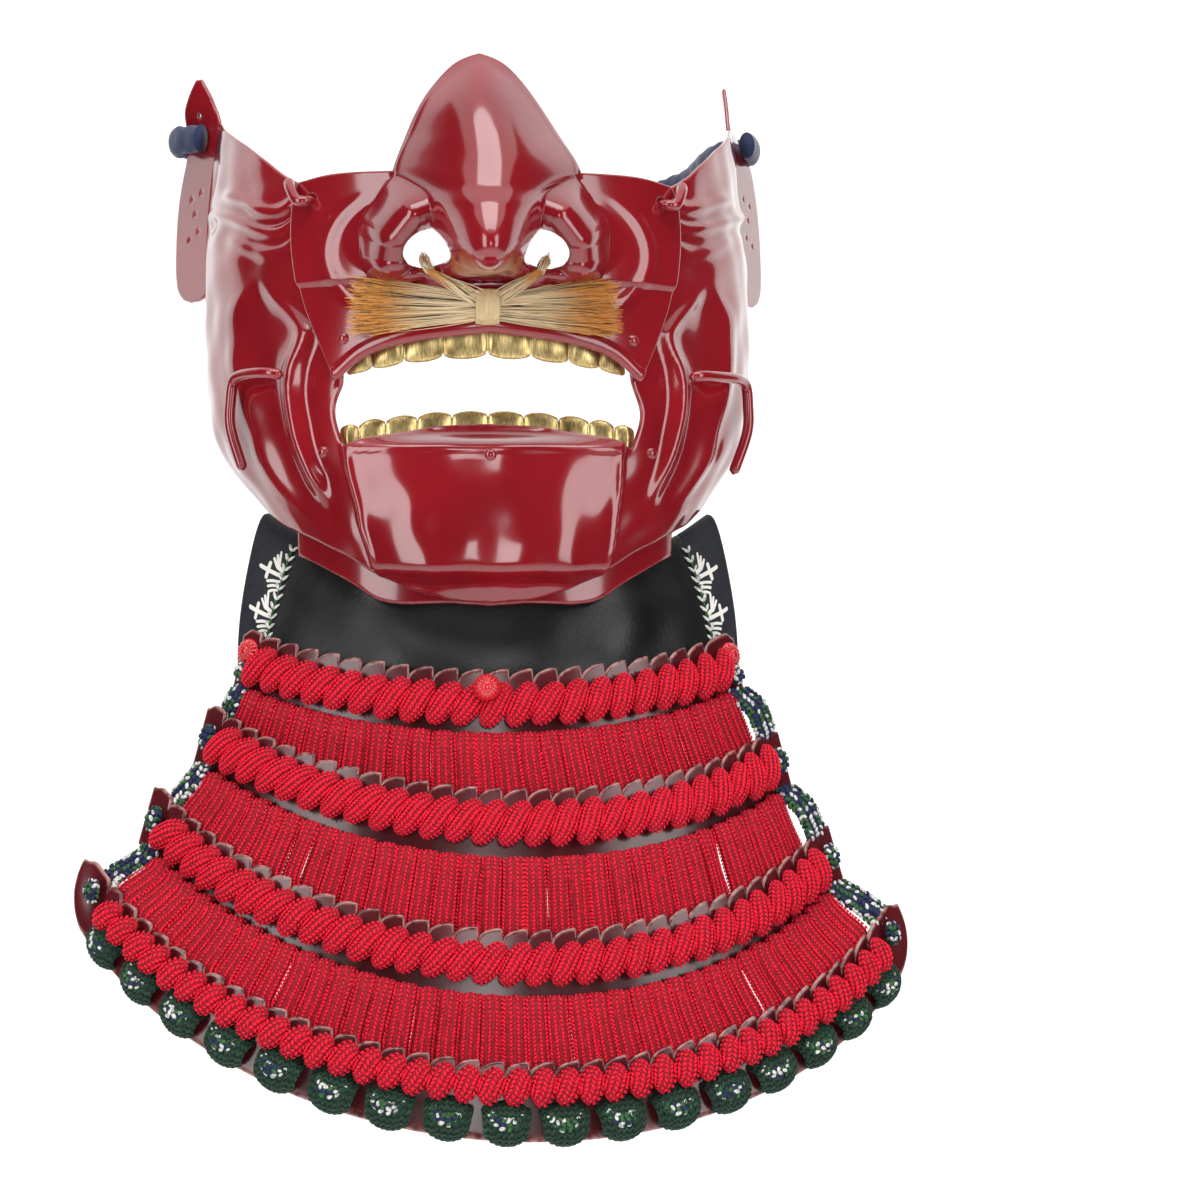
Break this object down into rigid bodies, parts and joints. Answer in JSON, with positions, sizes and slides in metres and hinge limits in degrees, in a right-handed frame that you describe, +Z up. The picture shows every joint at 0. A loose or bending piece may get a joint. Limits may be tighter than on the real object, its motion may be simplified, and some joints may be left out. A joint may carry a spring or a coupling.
{
  "type": "armour face guard with throat guard",
  "caption": "Lacquered iron half-mask with a hooked-on nose piece, teeth and moustache, and a flared throat guard of laced lames hung from a leather collar.",
  "frame": {"origin": "inner face of the chin, where the wearer's chin rests", "axes": "+Z up, towards the nose's bridge; the face looks along -Y; +X is the viewer's right"},
  "size_m": [0.2336, 0.2534, 0.3101],
  "materials": {
    "lacquer": "deep red gloss lacquer on iron",
    "lame_lacquer": "dark brown-red gloss lacquer, worn to a lighter line on the scale heads",
    "gold": "brushed, slightly tarnished gilding",
    "stud": "bright red lacquer, semi-gloss",
    "leather": "smooth black leather, semi-gloss",
    "band": "black-indigo leather with stencilled white fronds and crosses",
    "red_braid": "knitted crimson silk braid",
    "mixed_braid": "silk braid in white, navy and green",
    "green_braid": "dark green wrapped yarn with a white, blue and green lace",
    "navy": "navy woven cloth, padded",
    "hair": "cream to brown animal hair"
  },
  "bodies": {
    "root": {"mask_shell": "lacquer", "nose_piece": "lacquer", "nose_hook_left": "lacquer", "nose_hook_right": "lacquer", "cord_stay_left": "lacquer", "cord_stay_right": "lacquer", "teeth_upper": "gold", "teeth_lower": "gold", "moustache": "hair", "head_strap": "navy", "neck_flange": "lacquer", "neck_leather": "leather", "neck_band_left": "band", "neck_band_right": "band", "rosette_left": "stud", "rosette_centre": "stud", "rosette_right": "stud", "lame_1": "lame_lacquer", "rope_lacing_1": "red_braid", "lame_2": "lame_lacquer", "rope_lacing_2": "red_braid", "lame_3": "lame_lacquer", "rope_lacing_3": "red_braid", "lame_4": "lame_lacquer", "rope_lacing_4": "red_braid", "lacing_1": "red_braid", "lacing_2": "red_braid", "lacing_3": "red_braid", "side_knot_left_1": "mixed_braid", "side_knot_left_2": "mixed_braid", "side_knot_left_3": "mixed_braid", "side_knot_left_4": "mixed_braid", "side_loop_left_1": "mixed_braid", "side_loop_left_2": "mixed_braid", "side_loop_left_3": "mixed_braid", "side_knot_right_1": "mixed_braid", "side_knot_right_2": "mixed_braid", "side_knot_right_3": "mixed_braid", "side_knot_right_4": "mixed_braid", "side_loop_right_1": "mixed_braid", "side_loop_right_2": "mixed_braid", "side_loop_right_3": "mixed_braid", "hem_knot_01": "green_braid", "hem_knot_02": "green_braid", "hem_knot_03": "green_braid", "hem_knot_04": "green_braid", "hem_knot_05": "green_braid", "hem_knot_06": "green_braid", "hem_knot_07": "green_braid", "hem_knot_08": "green_braid", "hem_knot_09": "green_braid", "hem_knot_10": "green_braid", "hem_knot_11": "green_braid", "hem_knot_12": "green_braid", "hem_knot_13": "green_braid", "hem_knot_14": "green_braid", "hem_knot_15": "green_braid", "hem_knot_16": "green_braid", "hem_knot_17": "green_braid"}
  },
  "joints": []
}
